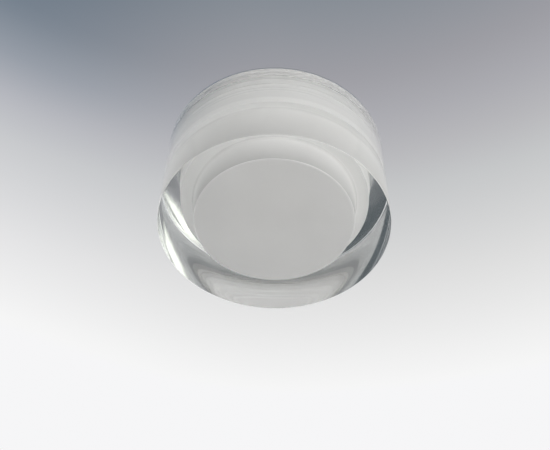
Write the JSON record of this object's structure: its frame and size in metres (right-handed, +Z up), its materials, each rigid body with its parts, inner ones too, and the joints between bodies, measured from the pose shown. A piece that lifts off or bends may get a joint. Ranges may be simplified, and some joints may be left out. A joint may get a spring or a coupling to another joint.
{
  "type": "recessed ceiling downlight",
  "caption": "Round recessed ceiling downlight with a thick clear acrylic block in front, frosted light pocket, LED engine and sprung retaining arms.",
  "frame": {"origin": "centre of the ceiling plane, where the top of the foam gasket seats, on the light's axis", "axes": "+Z up into the ceiling along the light's axis; +X towards the right spring arm; the polished front face looks down -Z"},
  "size_m": [0.08, 0.08, 0.057],
  "materials": {
    "clear_acrylic": "polished",
    "grey_silicone": "satin",
    "white_silicone": "satin",
    "white_carrier_plastic": "satin",
    "polished_steel": "polished",
    "gasket_foam": "matte",
    "reflector_plastic": "satin",
    "cast_aluminium": "satin",
    "cover_aluminium": "satin",
    "zinc_plated_steel": "satin",
    "spring_steel": "satin",
    "spring_wire": "satin",
    "thermal_silicone": "matte",
    "board_solder_white": "satin",
    "led_phosphor": "satin",
    "wire_red_pvc": "satin",
    "board_green": "satin",
    "capacitor_sleeve": "gloss",
    "transformer_tape": "satin",
    "ferrite_black": "matte",
    "chip_epoxy": "matte",
    "terminal_plastic": "satin",
    "inlet_rubber": "matte",
    "foot_nylon": "satin"
  },
  "bodies": {
    "fitting": {"acrylic_block": "clear_acrylic", "front_o_ring": "grey_silicone", "rear_o_ring": "white_silicone", "carrier_ring": "white_carrier_plastic", "backing_ring": "polished_steel", "ceiling_gasket": "gasket_foam", "light_baffle": "reflector_plastic", "housing": "cast_aluminium", "housing_screws": "zinc_plated_steel", "thermal_pad": "thermal_silicone", "led_board": "board_solder_white", "led_chips": "led_phosphor", "board_screws": "zinc_plated_steel", "led_wires": "wire_red_pvc", "driver_board": "board_green", "driver_screws": "zinc_plated_steel", "driver_capacitor": "capacitor_sleeve", "driver_transformer": "transformer_tape", "driver_choke": "ferrite_black", "driver_chips": "chip_epoxy", "terminal_block": "terminal_plastic", "terminal_screws": "zinc_plated_steel", "rear_cover": "cover_aluminium", "cover_screws": "zinc_plated_steel", "cable_grommet": "inlet_rubber", "left_spring_bracket": "spring_steel", "right_spring_bracket": "spring_steel", "bracket_rivets": "cast_aluminium", "left_hinge_pin": "zinc_plated_steel", "right_hinge_pin": "zinc_plated_steel", "left_torsion_spring": "spring_wire", "right_torsion_spring": "spring_wire"},
    "left_arm": {"left_spring_arm": "spring_steel", "left_spring_tail": "spring_wire", "left_arm_foot": "foot_nylon"},
    "right_arm": {"right_spring_arm": "spring_steel", "right_spring_tail": "spring_wire", "right_arm_foot": "foot_nylon"}
  },
  "joints": [
    {"name": "left_arm_hinge", "type": "hinge", "parent": "fitting", "child": "left_arm", "pos_m": [-0.0266, 0, 0.0085], "axis": [0, 1, 0], "range_deg": [0, 102], "stiffness_Nm_per_rad": 0.0134, "springref_deg": -85.94},
    {"name": "right_arm_hinge", "type": "hinge", "parent": "fitting", "child": "right_arm", "pos_m": [0.0266, 0, 0.0085], "axis": [0, -1, 0], "range_deg": [0, 102], "stiffness_Nm_per_rad": 0.0134, "springref_deg": -85.94}
  ]
}
